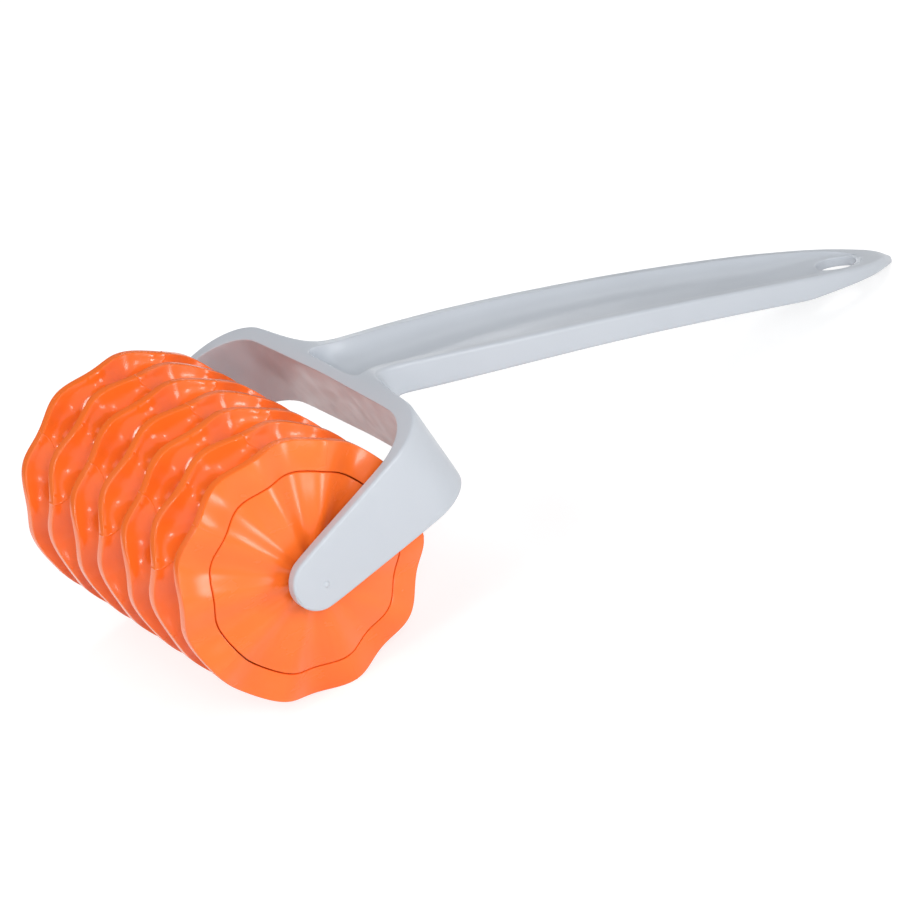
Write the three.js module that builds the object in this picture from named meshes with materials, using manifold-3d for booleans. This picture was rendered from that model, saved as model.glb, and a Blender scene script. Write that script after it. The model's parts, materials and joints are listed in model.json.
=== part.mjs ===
// A breadstick dough roller: a hollow drum with seven wavy blades, closed by a fluted
// cap at each end, spins on the two stub pins of a one-piece fork and handle.
// Millimetres, +Z up. The roller stands on its blades and on the tip of the handle,
// with +X along the handle and the drum's axis along Y.
import * as THREE from 'three';
import { mergeVertices } from 'three/addons/utils/BufferGeometryUtils.js';
import Module from 'manifold-3d';

// Drum
const drumRadius = 31;
const bladeCount = 7;
const bladePitch = 14.1;
const bladeLand = 2.8;
const bladeChamfer = 0.6;
const channelDepth = 6.8;
const channelWall = 3.2;
const waveCount = 10;
const waveHeight = 1.45;
const oddBladeTurn = THREE.MathUtils.degToRad(4.2);
const evenBladeTurn = THREE.MathUtils.degToRad(30.6);

// End caps
const capLedge = 2.7;
const capThickness = 2.4;
const spigotLength = 7;
const spigotWall = 2;
const hubWall = 3.7;
const hubFloor = 2;

// Fork: a band bent into a U, in a plane that leans up from the axle
const forkLean = THREE.MathUtils.degToRad(13.8);
const armThickness = 3;
const drumToArm = 8.65;
const armTaper = 4.55;
const drumToCrossbar = 10.5;
const crossbarBow = 0.8;
const crossbarEndThickness = 2.2;
const crossbarBackBow = 3.6;
const crossbarBowRadius = 600;
const forkCornerRadius = 16.1;
const forkOuterCornerRadius = 16;
const armEndReach = 7.8;
const armEndRadius = 6.3;
const armTopAtAxle = 8.6;
const armBottomAtAxle = -5.7;
const crossbarTop = 11.05;
const crossbarBottom = -12.05;

// Stub pins on the fork's arms
const pinRadius = 2.5;
const pinLength = 8;
const shoulderStep = 1;

// Handle: a shallow trough that arches down from the crossbar to the table.
// Places along it are set off from the crossbar's back at the neck, or back from the tip.
const axleToTip = 192.5;
const handleRootHeight = 9.35;
const topArchRise = 2.75;
const noseTopFromTip = 3.2;
const noseTopHeight = 3.8;
const noseTipHeight = 0.4;
const footFromTip = 1;
const keelFromTip = 32.5;
const keelHeight = 8.9;
const keelSlopeFromTip = 2;
const keelSlopeHeight = 1.5;
const underArchRise = 2.25;
const railWidth = 3.1;
const floorThickness = 2.6;
const neckHalfWidth = 14.6;
const neckFilletRadius = 8.5;
const bellyFromCrossbar = 38.9;
const bellyHalfWidth = 17.2;
const bellyLeadIn = 14;
const bellyRunOut = 100;
const noseSideFromTip = 9.7;
const noseSideHalfWidth = 9.7;
const noseHalfWidth = 0.8;
const troughFrontWall = 2.6;
const troughFromTip = 8.9;
const troughSideHalfWidth = 7;

// Hanging slot through the floor of the trough
const slotFromTip = 15.5;
const slotHalfLength = 5.3;
const slotHalfWidth = 4.4;

// Fits
const seatGap = 0.3;
const turningGap = 0.3;
const endPlay = 0.3;
const pinEndGap = 1;

// Fineness of the curves
const drumSides = 60;
const channelSteps = 6;
const pinSides = 24;
const planSteps = 8;
const sideSteps = 12;
const leafSteps = 8;

// Sizes that follow from the ones above
const drumLength = (bladeCount - 1) * bladePitch + bladeLand;
const channelWidth = bladePitch - bladeLand;
const boreRadius = drumRadius - channelDepth - channelWall;
const capRadius = boreRadius + capLedge;
const shoulderRadius = pinRadius + shoulderStep;
const shoulderFace = drumLength / 2 + waveHeight * (shoulderRadius / drumRadius) + endPlay;
const pinEnd = shoulderFace - pinLength;
const hubRadius = pinRadius + turningGap + hubWall;
const armHalf = drumLength / 2 + drumToArm;
const axleToCrossbar = drumRadius + drumToCrossbar;
const armSplay = armTaper / axleToCrossbar;
const crossbarEnd = axleToCrossbar + crossbarEndThickness;
const neckSpread = neckHalfWidth + neckFilletRadius;
const crossbarOuterHalf = armHalf + armThickness - armSplay * crossbarEnd;
const crossbarBack = crossbarEnd + crossbarBackBow * (1 - neckSpread / crossbarOuterHalf);
const troughFront = axleToCrossbar + crossbarBow + troughFrontWall;
const axleX = -(axleToTip - drumRadius) / 2;
const pastAll = axleToTip + armHalf;

const wasm = await Module();
wasm.setup();

const orangePlastic = new THREE.MeshStandardMaterial({ color: 0xff6a26, roughness: 0.28, metalness: 0 });
const greyPlastic = new THREE.MeshStandardMaterial({ color: 0xd2d7de, roughness: 0.34, metalness: 0 });

// Turns a closed geometry into a solid that can be joined and cut.
function toSolid(geometry) {
  const bare = new THREE.BufferGeometry();
  bare.setAttribute('position', geometry.getAttribute('position'));
  bare.setIndex(geometry.getIndex());
  const welded = mergeVertices(bare);
  return new wasm.Manifold(new wasm.Mesh({
    numProp: 3,
    vertProperties: new Float32Array(welded.getAttribute('position').array),
    triVerts: new Uint32Array(welded.getIndex().array),
  }));
}

function toMesh(name, solid, material) {
  const { vertProperties, triVerts } = solid.getMesh();
  const geometry = new THREE.BufferGeometry();
  geometry.setAttribute('position', new THREE.BufferAttribute(vertProperties, 3));
  geometry.setIndex(new THREE.BufferAttribute(triVerts, 1));
  geometry.computeVertexNormals();
  const mesh = new THREE.Mesh(geometry, material);
  mesh.name = name;
  return mesh;
}

// A closed outline of straight sides whose corners, [x, y, radius], are rounded as far as the sides allow.
function roundedShape(corners) {
  const shape = new THREE.Shape();
  corners.forEach(([x, y, wantedRadius], index) => {
    const [lastX, lastY] = corners.at(index - 1);
    const [nextX, nextY] = corners[(index + 1) % corners.length];
    const corner = new THREE.Vector2(x, y);
    const toLast = new THREE.Vector2(lastX, lastY).sub(corner);
    const toNext = new THREE.Vector2(nextX, nextY).sub(corner);
    const room = Math.min(toLast.length(), toNext.length()) / 2;
    toLast.normalize();
    toNext.normalize();
    const halfAngle = Math.acos(THREE.MathUtils.clamp(toLast.dot(toNext), -1, 1)) / 2;
    const radius = Math.min(wantedRadius, room * Math.tan(halfAngle));
    const reach = radius / Math.tan(halfAngle);
    const start = corner.clone().addScaledVector(toLast, reach);
    if (index === 0) {
      shape.moveTo(start.x, start.y);
    } else {
      shape.lineTo(start.x, start.y);
    }
    if (radius > 0) {
      const end = corner.clone().addScaledVector(toNext, reach);
      const towardsCentre = toLast.clone().add(toNext).normalize();
      const centre = corner.clone().addScaledVector(towardsCentre, radius / Math.sin(halfAngle));
      const startAngle = Math.atan2(start.y - centre.y, start.x - centre.x);
      const endAngle = Math.atan2(end.y - centre.y, end.x - centre.x);
      const clockwise = toLast.cross(toNext) > 0;
      shape.absarc(centre.x, centre.y, radius, startAngle, endAngle, clockwise);
    }
  });
  shape.closePath();
  return shape;
}

// Mirrors a half outline, drawn on the +Y side from one end of the centre line to the other.
function mirrored(halfCorners) {
  const otherHalf = halfCorners.filter(([, y]) => y > 0).reverse().map(([x, y, radius]) => [x, -y, radius]);
  return [...halfCorners, ...otherHalf];
}

// A plan outline in X and Y, raised from one height to another.
function raisedPlan(shape, bottom, top) {
  const geometry = new THREE.ExtrudeGeometry(shape, {
    depth: top - bottom,
    bevelEnabled: false,
    curveSegments: planSteps,
  });
  geometry.translate(0, 0, bottom);
  return toSolid(geometry);
}

// A side outline in X and Z, given a width that is centred on Y.
function widenedSide(shape, width) {
  const geometry = new THREE.ExtrudeGeometry(shape, {
    depth: width,
    bevelEnabled: false,
    curveSegments: sideSteps,
  });
  geometry.translate(0, 0, -width / 2);
  geometry.rotateX(Math.PI / 2);
  return toSolid(geometry);
}

// A round bar along Y between two places.
function barAlongY(radius, from, to) {
  const geometry = new THREE.CylinderGeometry(radius, radius, Math.abs(to - from), pinSides);
  geometry.translate(0, (from + to) / 2, 0);
  return toSolid(geometry);
}

// How far a blade swings along the axle at an angle round it. Odd and even blades are turned apart.
function bladeSwing(blade, angle) {
  const turn = blade % 2 === 0 ? oddBladeTurn : evenBladeTurn;
  return waveHeight * Math.cos(waveCount * (angle - turn));
}

// The swing between two blades runs evenly from one to the other across their channel.
function drumSwing(axial, angle) {
  const place = THREE.MathUtils.clamp(axial / bladePitch + (bladeCount - 1) / 2, 0, bladeCount - 1);
  const blade = Math.min(Math.floor(place), bladeCount - 2);
  const halfLand = bladeLand / bladePitch / 2;
  const across = THREE.MathUtils.clamp((place - blade - halfLand) / (1 - 2 * halfLand), 0, 1);
  return THREE.MathUtils.lerp(bladeSwing(blade, angle), bladeSwing(blade + 1, angle), across);
}

// Spins a profile of [radius, axial, wavy] points about Y. The swing of wavy points grows with their
// radius, so that the flutes of the end faces run out at the axle.
function wavyLathe(profile) {
  const points = profile.map(([radius, axial]) => new THREE.Vector2(radius, axial));
  const geometry = new THREE.LatheGeometry(points, drumSides);
  const position = geometry.getAttribute('position');
  for (let index = 0; index < position.count; index += 1) {
    const [radius, axial, wavy] = profile[index % profile.length];
    const angle = Math.atan2(position.getZ(index), position.getX(index));
    const swing = wavy ? drumSwing(axial, angle) * (radius / drumRadius) : 0;
    position.setY(index, axial + swing);
  }
  return toSolid(geometry);
}

// The land of one blade and its eased edges, from its -Y flank to its +Y flank.
function bladeProfile(centre) {
  const flank = bladeLand / 2;
  const edge = flank - bladeChamfer;
  return [
    [drumRadius - bladeChamfer, centre - flank, true],
    [drumRadius, centre - edge, true],
    [drumRadius, centre + edge, true],
    [drumRadius - bladeChamfer, centre + flank, true],
  ];
}

// The half-round channel after a blade, without its two edges.
function channelProfile(centre) {
  const depth = channelDepth - bladeChamfer;
  return Array.from({ length: channelSteps - 1 }, (_, index) => {
    const angle = ((index + 1) / channelSteps) * Math.PI;
    const radius = drumRadius - bladeChamfer - depth * Math.sin(angle);
    return [radius, centre - (channelWidth / 2) * Math.cos(angle), true];
  });
}

function drum() {
  const end = drumLength / 2;
  const seatRadius = capRadius + seatGap;
  const seat = end - capThickness - seatGap;
  const profile = [[boreRadius, -seat, false], [seatRadius, -seat, false], [seatRadius, -end, true]];
  for (let blade = 0; blade < bladeCount; blade += 1) {
    const centre = (blade - (bladeCount - 1) / 2) * bladePitch;
    profile.push(...bladeProfile(centre));
    if (blade < bladeCount - 1) {
      profile.push(...channelProfile(centre + bladePitch / 2));
    }
  }
  profile.push([seatRadius, end, true], [seatRadius, seat, false], [boreRadius, seat, false], profile[0]);
  return wavyLathe(profile);
}

// The cap of the end towards side * Y: a fluted disc with a spigot in the drum's bore and a blind hub
// that the stub pin turns in.
function endCap(side) {
  const face = drumLength / 2;
  const back = face - capThickness;
  const spigotRadius = boreRadius - seatGap;
  const pinSeat = pinRadius + turningGap;
  const pinFloor = pinEnd - pinEndGap;
  const profile = [
    [0, pinFloor - hubFloor, false],
    [hubRadius, pinFloor - hubFloor, false],
    [hubRadius, back, false],
    [spigotRadius - spigotWall, back, false],
    [spigotRadius - spigotWall, back - spigotLength, false],
    [spigotRadius, back - spigotLength, false],
    [spigotRadius, back, false],
    [capRadius, back, false],
    [capRadius, face, true],
    [pinSeat, face, true],
    [pinSeat, pinFloor, false],
    [0, pinFloor, false],
  ];
  const placed = profile.map(([radius, axial, wavy]) => [radius, side * axial, wavy]);
  return wavyLathe(side > 0 ? placed : placed.reverse());
}

// The fork's U with its arms moved out by an offset, and a crossbar that bows out towards its middle.
function forkOutline(armOffset, crossbar, cornerRadius, bow) {
  const end = -axleToCrossbar;
  return [
    [end, armHalf + armOffset - armSplay * end, 0],
    [crossbar, armHalf + armOffset - armSplay * crossbar, cornerRadius],
    [crossbar + bow, 0, crossbarBowRadius],
  ];
}

function forkBand() {
  const outer = mirrored(forkOutline(armThickness, crossbarEnd, forkOuterCornerRadius, crossbarBackBow));
  const inner = mirrored(forkOutline(0, axleToCrossbar, forkCornerRadius, crossbarBow));
  const band = raisedPlan(roundedShape(outer), -pastAll, pastAll)
    .subtract(raisedPlan(roundedShape(inner), -2 * pastAll, 2 * pastAll));
  const topSlope = (crossbarTop - armTopAtAxle) / crossbarBack;
  const bottomSlope = (crossbarBottom - armBottomAtAxle) / crossbarBack;
  const past = 2 * crossbarBack;
  const side = widenedSide(roundedShape([
    [-armEndReach, armBottomAtAxle - bottomSlope * armEndReach, armEndRadius],
    [past, armBottomAtAxle + bottomSlope * past, 0],
    [past, armTopAtAxle + topSlope * past, 0],
    [-armEndReach, armTopAtAxle - topSlope * armEndReach, armEndRadius],
  ]), 2 * pastAll);
  return band.intersect(side);
}

// A stub pin on the arm towards side * Y: a shoulder that keeps the drum clear, and the pin in its hub.
function stubPin(side) {
  const root = armHalf + armThickness / 2;
  return barAlongY(shoulderRadius, side * root, side * shoulderFace)
    .add(barAlongY(pinRadius, side * root, side * pinEnd));
}

// The fork's plane leans up from the axle: where a place in it lies in X and Z.
function leaned(along, above) {
  return new THREE.Vector2(along, above).rotateAround(new THREE.Vector2(), forkLean);
}

// An arched line in X and Z, bowed up by a rise between its ends.
function archTo(shape, from, to, rise) {
  const middle = from.clone().add(to).multiplyScalar(0.5);
  shape.quadraticCurveTo(middle.x, middle.y + 2 * rise, to.x, to.y);
}

// Carries one side of the handle's outline from above on past the belly to an end near the tip, which
// it reaches past a place at its side.
function leafToTip(half, inset, side, end) {
  const belly = crossbarBack + bellyFromCrossbar;
  const bellyHalf = bellyHalfWidth - inset;
  half.quadraticCurveTo(belly - bellyLeadIn, bellyHalf, belly, bellyHalf);
  half.bezierCurveTo(belly + bellyRunOut, bellyHalf, side.x, side.y, end, noseHalfWidth);
  return half;
}

// Closes a half outline with its mirror image across X.
function mirroredShape(half) {
  const points = half.getPoints(leafSteps);
  const others = points.toReversed().map(({ x, y }) => new THREE.Vector2(x, -y));
  return new THREE.Shape([...points, ...others]);
}

// Where the handle's underside leaves the crossbar.
function rootUnder() {
  return leaned(crossbarBack, crossbarTop - handleRootHeight);
}

// Draws the underside from the foot past the keel to the root, a height above it.
function underside(shape, above) {
  const low = above - drumRadius;
  const keel = new THREE.Vector2(axleToTip - keelFromTip, low + keelHeight);
  const root = rootUnder();
  shape.lineTo(axleToTip - footFromTip, low);
  shape.quadraticCurveTo(axleToTip - keelSlopeFromTip, low + keelSlopeHeight, keel.x, keel.y);
  archTo(shape, keel, root.setY(root.y + above), underArchRise);
}

// The handle before it is hollowed: its outline from above, cut to its outline from the side.
function handleBody() {
  const bandMiddle = (axleToCrossbar + crossbarBack) / 2;
  const bandTop = leaned(bandMiddle, crossbarTop);
  const bandUnder = leaned(bandMiddle, crossbarTop - handleRootHeight);
  const rootTop = leaned(crossbarBack, crossbarTop);
  const noseTop = new THREE.Vector2(axleToTip - noseTopFromTip, noseTopHeight - drumRadius);
  const noseTip = new THREE.Vector2(axleToTip, noseTipHeight - drumRadius);
  const side = new THREE.Shape();
  side.moveTo(bandTop.x, bandTop.y);
  side.lineTo(rootTop.x, rootTop.y);
  archTo(side, rootTop, noseTop, topArchRise);
  side.quadraticCurveTo(axleToTip, (noseTop.y + noseTip.y) / 2, noseTip.x, noseTip.y);
  underside(side, 0);
  side.lineTo(bandUnder.x, bandUnder.y);
  side.closePath();

  const outline = new THREE.Path()
    .moveTo(bandTop.x, neckSpread)
    .lineTo(rootTop.x, neckSpread)
    .quadraticCurveTo(rootTop.x, neckHalfWidth, rootTop.x + neckFilletRadius, neckHalfWidth);
  const noseSide = new THREE.Vector2(axleToTip - noseSideFromTip, noseSideHalfWidth);
  const plan = mirroredShape(leafToTip(outline, 0, noseSide, axleToTip));
  return raisedPlan(plan, -pastAll, pastAll).intersect(widenedSide(side, 2 * pastAll));
}

// What is hollowed out: the trough between the rails, behind a front wall, and the hanging slot.
function handleHollow() {
  const wallFoot = leaned(troughFront, crossbarTop - handleRootHeight + floorThickness);
  const overWall = leaned(troughFront, 2 * crossbarTop);
  const aboveFloor = new THREE.Shape();
  aboveFloor.moveTo(axleToTip, pastAll);
  aboveFloor.lineTo(axleToTip, floorThickness - drumRadius);
  underside(aboveFloor, floorThickness);
  aboveFloor.lineTo(wallFoot.x, wallFoot.y);
  aboveFloor.lineTo(overWall.x, overWall.y);
  aboveFloor.lineTo(overWall.x, pastAll);
  aboveFloor.closePath();

  const end = axleToTip - troughFromTip;
  const inside = new THREE.Path().moveTo(overWall.x, neckHalfWidth - railWidth);
  const plan = mirroredShape(leafToTip(inside, railWidth, new THREE.Vector2(end, troughSideHalfWidth), end));
  const slot = new THREE.Shape();
  slot.absellipse(axleToTip - slotFromTip, 0, slotHalfLength, slotHalfWidth, 0, 2 * Math.PI);
  return raisedPlan(plan, -pastAll, pastAll)
    .intersect(widenedSide(aboveFloor, 2 * pastAll))
    .add(raisedPlan(slot, -pastAll, pastAll));
}

function forkAndHandle() {
  const lean = new THREE.Matrix4().makeRotationY(-forkLean);
  return forkBand()
    .transform(lean.elements)
    .add(handleBody())
    .subtract(handleHollow())
    .add(stubPin(1))
    .add(stubPin(-1));
}

const roller = new THREE.Group();
roller.position.set(axleX, 0, drumRadius);
roller.add(toMesh('fork_handle', forkAndHandle(), greyPlastic));
roller.add(toMesh('roller_drum', drum(), orangePlastic));
roller.add(toMesh('end_cap_near', endCap(-1), orangePlastic));
roller.add(toMesh('end_cap_far', endCap(1), orangePlastic));

export default roller;
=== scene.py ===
# A breadstick dough roller: an orange drum with wavy blades in a grey fork with a trough-shaped handle.
import json
import math

import bmesh
import bpy
from mathutils import Matrix, Quaternion, Vector


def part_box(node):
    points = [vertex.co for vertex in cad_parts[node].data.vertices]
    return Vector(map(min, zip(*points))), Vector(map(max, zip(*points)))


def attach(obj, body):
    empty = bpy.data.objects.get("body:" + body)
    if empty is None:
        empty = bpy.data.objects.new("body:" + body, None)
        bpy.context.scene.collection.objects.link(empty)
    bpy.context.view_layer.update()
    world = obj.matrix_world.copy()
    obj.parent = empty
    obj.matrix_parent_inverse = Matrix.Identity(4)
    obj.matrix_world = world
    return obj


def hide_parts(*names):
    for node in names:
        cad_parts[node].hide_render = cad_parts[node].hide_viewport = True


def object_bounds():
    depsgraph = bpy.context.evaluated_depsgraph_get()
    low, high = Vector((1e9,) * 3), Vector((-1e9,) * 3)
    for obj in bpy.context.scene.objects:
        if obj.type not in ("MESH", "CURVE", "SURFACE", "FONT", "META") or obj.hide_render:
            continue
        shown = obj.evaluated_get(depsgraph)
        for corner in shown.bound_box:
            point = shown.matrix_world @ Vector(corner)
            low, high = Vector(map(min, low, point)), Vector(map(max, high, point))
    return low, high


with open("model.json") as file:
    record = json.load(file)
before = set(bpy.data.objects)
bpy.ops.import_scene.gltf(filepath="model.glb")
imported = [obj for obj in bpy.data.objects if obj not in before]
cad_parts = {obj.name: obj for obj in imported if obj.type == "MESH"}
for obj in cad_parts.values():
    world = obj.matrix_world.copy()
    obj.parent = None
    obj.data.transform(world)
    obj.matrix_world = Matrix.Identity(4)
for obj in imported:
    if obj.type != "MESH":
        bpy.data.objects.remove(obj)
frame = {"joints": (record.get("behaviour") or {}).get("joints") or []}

CAD_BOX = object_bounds()
MM = 0.001

# Places nearer to each other than this are one place
NEAR = 0.005 * MM

# Halvings that find a place on a curve
CURVE_HALVINGS = 40

# Places that the frame gives
DRUM_LOW, DRUM_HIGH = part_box("roller_drum")
CAP_LOW, CAP_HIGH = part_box("end_cap_far")
FORK_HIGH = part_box("fork_handle")[1]
AXLE = Vector(frame["joints"][0]["pos_m"])
DRUM_RADIUS = (DRUM_HIGH.z - DRUM_LOW.z) / 2
CAP_RADIUS = (CAP_HIGH.z - CAP_LOW.z) / 2
TABLE = CAD_BOX[0].z
TABLE_FROM_AXLE = TABLE - AXLE.z
TIP_REACH = FORK_HIGH.x - AXLE.x

# Drum
BLADE_COUNT = 7
BLADE_PITCH = 14.1 * MM
BLADE_LAND = 2.8 * MM
BLADE_EDGE = 0.3 * MM
BLADE_EDGE_STEPS = 4
CHANNEL_DEPTH = 6.8 * MM
CHANNEL_WALL = 3.2 * MM
CHANNEL_STEPS = 14
SEAM_EDGE = 0.2 * MM
SEAM_GAP = 0.3 * MM
SMALL_EDGE_STEPS = 2
WAVE_COUNT = 10
WAVE_HEIGHT = 1.45 * MM
END_SLOPE = 0.2

# The waves of neighbouring blades are turned by one of these and by the other
BLADE_TURNS = (math.radians(4.2), math.radians(30.6))

# A channel deepens by this many times the share by which the waves widen it
CHANNEL_SWELL = 1.2

# Mould parting lines, which run in a zigzag from rim to rim
PARTING_COUNT = 5
PARTING_TURN = math.radians(58.2)
PARTING_ZIGZAG = BLADE_TURNS[1] - BLADE_TURNS[0]
PARTING_HEIGHT = 0.09 * MM

# Columns of vertices between parting lines: the first and the last lie near a line, and the rest are even
COLUMNS_PER_PARTING = 64
PARTING_NEAR = math.radians(0.28)
PARTING_FAR = math.radians(0.75)
FIRST_EVEN_COLUMN = 2
LAST_EVEN_COLUMN = COLUMNS_PER_PARTING - FIRST_EVEN_COLUMN

# End caps and stub pins
CAP_THICKNESS = 2.4 * MM
CAP_COLUMNS = 320
SPIGOT_LENGTH = 7 * MM
SPIGOT_WALL = 2 * MM
HUB_WALL = 3.7 * MM
HUB_FLOOR = 2 * MM
PIN_RADIUS = 2.5 * MM
PIN_DEPTH = 7.5 * MM
PIN_GAP = 0.3 * MM
PIN_END_GAP = 1 * MM
PIN_EDGE = 0.4 * MM
PIN_COLUMNS = 48
SHOULDER_RADIUS = 3.5 * MM
END_PLAY = 0.3 * MM

# Fork
FORK_LEAN = math.radians(13.8)
ARM_THICKNESS = 3 * MM
ARM_HALF = 52.35 * MM
ARM_TAPER = 4.55 * MM
AXLE_TO_CROSSBAR = 41.5 * MM
CROSSBAR_BOW = 0.8 * MM
CROSSBAR_DRAFT = 1.2 * MM
CROSSBAR_END_THICKNESS = 2.2 * MM
CROSSBAR_BACK_BOW = 3.6 * MM
FORK_CORNER_RADIUS = 16.1 * MM
FORK_OUTER_CORNER_RADIUS = 16 * MM
ARM_END_REACH = 7.8 * MM
ARM_END_RADIUS = 6.3 * MM
ARM_TOP_AT_AXLE = 8.6 * MM
ARM_BOTTOM_AT_AXLE = -5.7 * MM
CROSSBAR_TOP = 11.05 * MM
CROSSBAR_BOTTOM = -12.05 * MM
ARM_COLUMN_FROM_AXLE = 12.45 * MM
CORNER_STEPS = 8
ARM_END_STEPS = 5
NUB_RADIUS = 0.9 * MM
NUB_HEIGHT = 0.45 * MM

# Handle
HANDLE_ROOT_HEIGHT = 9.35 * MM
TOP_ARCH_RISE = 2.75 * MM
NOSE_TOP_FROM_TIP = 3.2 * MM
NOSE_TOP_HEIGHT = 3.8 * MM
NOSE_TIP_HEIGHT = 0.4 * MM
FOOT_FROM_TIP = 1 * MM
KEEL_FROM_TIP = 32.5 * MM
KEEL_HEIGHT = 8.9 * MM
KEEL_SLOPE_FROM_TIP = 2 * MM
KEEL_SLOPE_HEIGHT = 1.5 * MM
UNDER_ARCH_RISE = 2.25 * MM
RAIL_WIDTH = 3.1 * MM
FLOOR_THICKNESS = 2.6 * MM
NECK_HALF_WIDTH = 14.6 * MM
NECK_FILLET_RADIUS = 8.5 * MM
BELLY_FROM_CROSSBAR = 38.9 * MM
BELLY_HALF_WIDTH = 17.2 * MM
BELLY_LEAD_IN = 14 * MM
BELLY_RUN_OUT = 100 * MM
NOSE_SIDE_FROM_TIP = 9.7 * MM
NOSE_SIDE_HALF_WIDTH = 9.7 * MM
NOSE_HALF_WIDTH = 0.8 * MM
TROUGH_FRONT_WALL = 1.7 * MM
TROUGH_CORNER_FLARE = 2 * MM
TROUGH_FRONT_CREASE = 0.8
TROUGH_FROM_TIP = 8.9 * MM
TROUGH_SIDE_HALF_WIDTH = 7 * MM
SLOT_FROM_TIP = 15.5 * MM
SLOT_HALF_LENGTH = 5.3 * MM
SLOT_HALF_WIDTH = 4.4 * MM
TROUGH_END_HALF_WIDTH = 1.8 * MM
ROOT_FILLET = 3 * MM
ROOT_FILLET_RUN = 6.375 * MM
LEAN_FADE = 14 * MM
KEEL_SHARPNESS = 3.5 * MM

# The bend between the trough's floor and its wall, as shares of the half width and of the wall's height
TROUGH_BEND = 0.86
TROUGH_BEND_LIFT = 0.16

# Stations of the handle's sections, as shares of the neck's fillet and of the way from the tip to the trough
NECK_STATIONS = (0.25, 0.5, 0.75, 1.1)
GRIP_STEPS = 8
NOSE_STATIONS = (1, 0.75, 0.5, 0.3, 0.13, 0.03)

# Columns of the nose, and the most of the half width that an inner column of the handle may take
NOSE_COLUMNS = 3
INNER_SHARE = 0.75

# A smoothed round hole's ring of eight corners lies this many times the hole's radius from its middle
HOLE_RING = 6 / (4 + 2 * math.cos(math.pi / 4))

# Fork and handle edges
OUTER_EDGE = 0.9 * MM
OUTER_EDGE_STEPS = 3
INNER_EDGE = 0.3 * MM
INNER_EDGE_STEPS = 2
RIDGE_ANGLE = math.radians(35)
SMOOTHING_LEVELS = 2
SMOOTH_ANGLE = math.radians(40)

# Corners of the fork's sections and of the handle's, counted round them
BAND_TOP = 1
BAND_FLOOR = 2
BAND_UNDER = 3
BAND_BOTTOM = 4
RAIL_TOP = 4
RAIL_UNDER = 6

# Sizes that follow from the ones above
DRUM_LENGTH = (BLADE_COUNT - 1) * BLADE_PITCH + BLADE_LAND
CAP_BACK = DRUM_LENGTH / 2 - CAP_THICKNESS
CHANNEL_WIDTH = BLADE_PITCH - BLADE_LAND
PARTING_SECTOR = 2 * math.pi / PARTING_COUNT
RIM_RADIUS = DRUM_RADIUS - PARTING_HEIGHT
BORE_RADIUS = DRUM_RADIUS - CHANNEL_DEPTH - CHANNEL_WALL
SEAT_RADIUS = CAP_RADIUS + SEAM_GAP
ARM_SPLAY = ARM_TAPER / AXLE_TO_CROSSBAR
CROSSBAR_HALF = ARM_HALF - ARM_TAPER
CROSSBAR_END = AXLE_TO_CROSSBAR + CROSSBAR_END_THICKNESS
CROSSBAR_OUTER_HALF = ARM_HALF + ARM_THICKNESS - ARM_SPLAY * CROSSBAR_END
NECK_SPREAD = NECK_HALF_WIDTH + NECK_FILLET_RADIUS
CROSSBAR_BACK = CROSSBAR_END + CROSSBAR_BACK_BOW * (1 - NECK_SPREAD / CROSSBAR_OUTER_HALF)
TROUGH_FRONT = AXLE_TO_CROSSBAR + CROSSBAR_BOW + TROUGH_FRONT_WALL
PIN_END = DRUM_LENGTH / 2 - PIN_DEPTH
NECK_ROOT = CROSSBAR_BACK * math.cos(FORK_LEAN) - CROSSBAR_TOP * math.sin(FORK_LEAN)
TROUGH_ROOT_HALF_WIDTH = NECK_HALF_WIDTH - RAIL_WIDTH
FORK_COLUMNS = (0, SLOT_HALF_WIDTH, TROUGH_ROOT_HALF_WIDTH, NECK_SPREAD)
TROUGH_COLUMNS = (0, SLOT_HALF_WIDTH, TROUGH_ROOT_HALF_WIDTH + TROUGH_CORNER_FLARE)
ARM_COLUMNS = (ARM_COLUMN_FROM_AXLE, ARM_END_RADIUS - ARM_END_REACH)
TROUGH_END = TIP_REACH - TROUGH_FROM_TIP
SLOT_MIDDLE = TIP_REACH - SLOT_FROM_TIP
KEEL = TIP_REACH - KEEL_FROM_TIP

# Plastics
ORANGE = (0.95, 0.175, 0.024)
ORANGE_CLOUD = (0.94, 0.16, 0.018)
ORANGE_GLOSS = 0.13
ORANGE_RUBBED = 0.2
ORANGE_GRAIN = 0.004 * MM
SATIN_ROUGHNESS = 0.08
GREY = (0.51, 0.54, 0.585)
GREY_CLOUD = (0.495, 0.525, 0.57)
GREY_GLOSS = 0.28
GREY_RUBBED = 0.38
GREY_GRAIN = 0.006 * MM

# Noises of the plastics, in waves to the metre, and the part of their range that is spread out
CLOUD_SCALE = 45
CLOUD_DETAIL = 3
RUB_SCALE = 240
RUB_DETAIL = 6
RUB_STRETCH = (0.35, 1, 1)
GRAIN_SCALE = 1600
GRAIN_DETAIL = 2
NOISE_LOW = 0.35
NOISE_HIGH = 0.65

# Where the camera stands
CAMERA_PLACE = Vector((-0.36502, -0.86710, 0.46640))
CAMERA_AIM = Vector((-0.03149, -0.03043, 0.03196))
CAMERA_ROLL = math.radians(-20.24)
CAMERA_VIEW = math.radians(12.0)
CAMERA_CLIP_START = 10 * MM

# What lights the roller, in metres and in shares of full light
LIT_PLACE = Vector((-0.03, 0, 0.03))
FLOOR_SIZE = 6
FLOOR_GLOW = 0.73
PAPER_SHADE = 0.9
SHOWN_PAPER_SHADE = 0.4
SKY_COLOUR = (0.95, 0.98, 1, 1)
SKY_STRENGTH = 0.25
SHOWN_SKY_COLOUR = (1, 1, 1, 1)
CARD_SHADE = 0.1
FAR_CARD_DISTANCE = 0.5
FAR_CARD_SIZE = 1.2
CEILING_CARD_SIZE = 3
CEILING_HEIGHT = 1.4


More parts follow.
